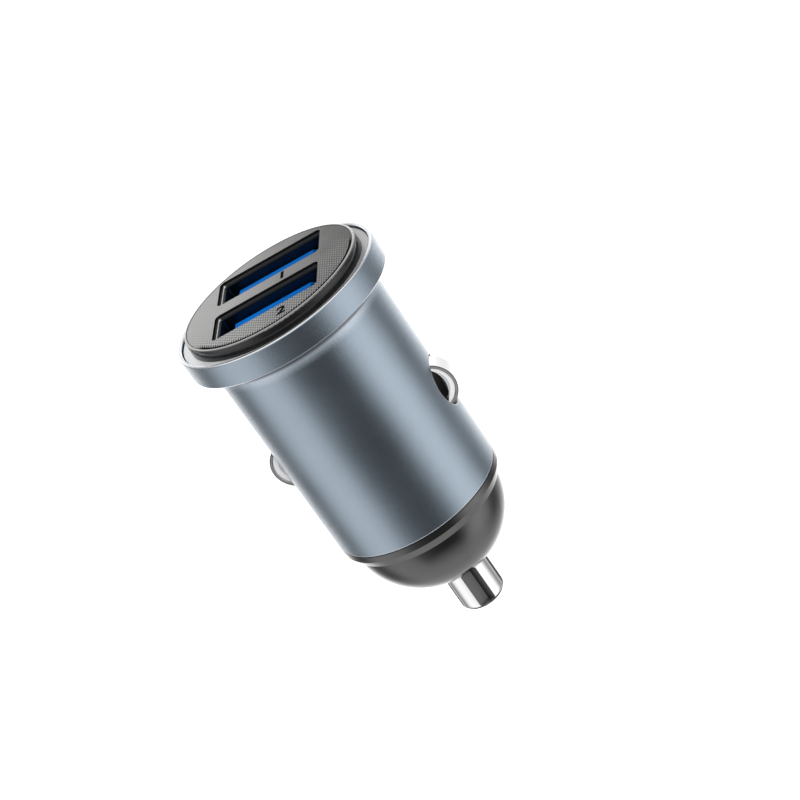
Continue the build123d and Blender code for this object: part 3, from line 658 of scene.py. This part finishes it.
def makeFinish(name, finish):
    # a plain finish, with the marks that belong to it
    look = startFinish(name, finish)
    if name in details:
        dress, marks = details[name]
        dress(look, marks)
    return endFinish(look)


finishOfNode = {
    "shell": "anodisedShell", "trim_ring": "blackNickel", "nose_cap": "satinNose", "light_ring": "lightPipe",
    "face_collar": "glossCollar", "face_plate": "faceGrey", "usb_sleeve": "shadedPortSteel",
    "usb_insulator": "portBlue", "usb_terminals": "goldContact", "port_board": "boardGreen",
    "main_board": "boardGreen", "contact_carrier": "carrierBlack", "contact_leaf": "springSteel",
    "contact": "polishedContact", "pin_spring": "springSteel", "centre_pin": "pinChrome",
    "pin_terminal": "tinPlate", "led": "lampResin", "inductor": "ferriteGrey",
    "input_capacitor": "drawnCan", "output_capacitor": "drawnCan", "controller_chip": "chipBlack",
    "diode": "chipBlack", "ceramic_capacitors": "ceramicTan",
}
materials = {name: makeFinish(name, finish) for name, finish in finishes.items()}


def dressNodes(choices):
    # each node takes the finish whose name is the longest start of the node's own name
    for node, piece in cad.items():
        start = max((key for key in choices if node.startswith(key)), key=len)
        piece.data.materials.clear()
        piece.data.materials.append(materials[choices[start]])


dressNodes(finishOfNode)
print("finishes made:", len(materials))


# pieces made here for the springs that give, and the plain numerals on the face

def carried(name, centres, sides, rises, section, finish, body, smooth):
    # a closed bar: point = centre + side * (first of section) + rise * (second), capped flat at both ends
    steps, around = len(centres), len(section)
    points = centres[:, None] + sides[:, None] * section[None, :, :1] + rises[:, None] * section[None, :, 1:]
    index = np.arange(steps * around).reshape(steps, around)
    low, high = index[:-1], index[1:]
    quads = np.stack([low, np.roll(low, -1, 1), np.roll(high, -1, 1), high], axis=-1).reshape(-1, 4)
    mesh = bpy.data.meshes.new(name)
    ends = [index[0, ::-1].tolist(), index[-1].tolist()]
    mesh.from_pydata(points.reshape(-1, 3).tolist(), [], quads.tolist() + ends)
    mesh.polygons.foreach_set("use_smooth", [smooth] * len(quads) + [False, False])
    return placed(name, mesh, finish, body)


def placed(name, mesh, finish, body):
    # an object that rides its body, with its finish
    mesh.materials.append(materials[finish])
    piece = bpy.data.objects.new(name, mesh)
    bpy.context.scene.collection.objects.link(piece)
    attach(piece, body)
    return piece


def unit(rows):
    # each row scaled to a length of 1
    return rows / np.linalg.norm(rows, axis=1, keepdims=True)


def roundedSection(width, thick, bevel):
    # a flat bar's section with its corners cut, anticlockwise
    side, rise = width / 2, thick / 2
    return np.array([
        (side, bevel - rise), (side, rise - bevel), (side - bevel, rise), (bevel - side, rise),
        (-side, rise - bevel), (-side, bevel - rise), (bevel - side, -rise), (side - bevel, -rise),
    ])


pinCoil = {
    "wireRadius": 0.18 * mm, "radius": 1.45 * mm, "ends": (-34.89 * mm, -29.71 * mm), "turns": 6.75,
    "perTurn": 40, "around": 14, "closed": ((0.0, 0.13, 0.87, 1.0), (0.0, 0.055, 0.945, 1.0)),
    "anchor": (0.0, 0.0, -29.5 * mm), "keep": 0.643,
}


def makeCoil(shape):
    # a helix about the axis with closed end turns: height follows the share of the way by the closed table
    share = np.linspace(0.0, 1.0, int(shape["turns"] * shape["perTurn"]) + 1)
    angle = share * shape["turns"] * 2 * np.pi
    low, high = shape["ends"]
    height = low + (high - low) * np.interp(share, *shape["closed"])
    sides = np.stack([np.cos(angle), np.sin(angle), np.zeros_like(angle)], axis=1)
    centres = sides * shape["radius"]
    centres[:, 2] = height
    along = unit(np.gradient(centres, axis=0))
    rises = unit(np.cross(along, sides))
    turn = np.linspace(0.0, 2 * np.pi, shape["around"], endpoint=False)
    section = np.stack([np.cos(turn), np.sin(turn)], axis=1) * shape["wireRadius"]
    coil = carried("pinCoil", centres, sides, rises, section, "springSteel", "housing", True)
    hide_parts("pin_spring")
    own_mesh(coil)


leafShape = {        # the tail's path is x, and height over the middle, in millimetres
    "middle": -15.65 * mm, "belly": 5.90 * mm, "radius": 3.583 * mm, "halfAngle": 81.5, "thick": 0.25 * mm,
    "width": 2.2 * mm, "bevel": 0.05 * mm, "steps": 60, "keep": 0.516, "tailWidth": 1.5 * mm,
    "tailPath": [(0.625, -1.25), (0.625, -0.30), (0.66, -0.13), (0.76, -0.04), (0.92, 0.0), (6.02, 0.0)],
}


def makeLeaf(hand, turned, shape):
    # the leaf is an arc round a centre line that stands out from the belly, and its tail is a bent bar to
    # the main board; the left ones are turned half round +Z
    face = np.array([-1.0, -1.0, 1.0]) if turned else np.ones(3)
    angle = np.radians(np.linspace(180 - shape["halfAngle"], 180 + shape["halfAngle"], shape["steps"]))
    outwards = np.stack([np.cos(angle), np.zeros_like(angle), np.sin(angle)], axis=1)
    centres = outwards * (shape["radius"] - shape["thick"] / 2)
    centres += np.array([shape["belly"] + shape["radius"], 0.0, shape["middle"]])
    sides = np.tile([0.0, 1.0, 0.0], (len(angle), 1))
    section = roundedSection(shape["width"], shape["thick"], shape["bevel"])
    strip = carried("leafSpring" + hand, centres * face, sides * face, -outwards * face, section,
                    "springSteel", "housing", False)
    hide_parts("contact_leaf_" + hand.lower())
    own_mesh(strip)
    path = np.array(shape["tailPath"]) * mm
    line = np.stack([path[:, 0], np.zeros(len(path)), path[:, 1] + shape["middle"]], axis=1)
    along = unit(np.gradient(line, axis=0))
    sides = np.tile([0.0, 1.0, 0.0], (len(line), 1))
    section = roundedSection(shape["tailWidth"], shape["thick"], shape["bevel"])
    carried("leafTail" + hand, line * face, sides * face, np.cross(along, sides) * face, section,
            "springSteel", "housing", False)


numerals = {
    "portNumeral1": {"digit": "1", "place": (1.70 * mm, 0.92 * mm)},
    "portNumeral2": {"digit": "2", "place": (1.98 * mm, -8.20 * mm)},
}
numeralShape = {"size": 2.30 * mm, "bold": 0.075 * mm, "thick": 0.016 * mm, "height": 3.956 * mm}


def makeNumeral(name, digit, place, shape):
    # a plain numeral of thin ink on the face plate
    curve = bpy.data.curves.new(name + "Line", "FONT")
    curve.body = digit
    curve.align_x, curve.align_y = "CENTER", "CENTER"
    curve.size, curve.offset, curve.extrude = shape["size"], shape["bold"], shape["thick"] / 2
    holder = bpy.data.objects.new(name + "Line", curve)
    bpy.context.scene.collection.objects.link(holder)
    graph = bpy.context.evaluated_depsgraph_get()
    mesh = bpy.data.meshes.new_from_object(holder.evaluated_get(graph))
    bpy.data.objects.remove(holder)
    mesh.transform(Matrix.Translation((*place, shape["height"])))
    placed(name, mesh, "numeralInk", "housing")


makeCoil(pinCoil)
makeLeaf("Right", False, leafShape)
makeLeaf("Left", True, leafShape)
for name, values in numerals.items():
    makeNumeral(name, values["digit"], values["place"], numeralShape)
print("springs and numerals made")
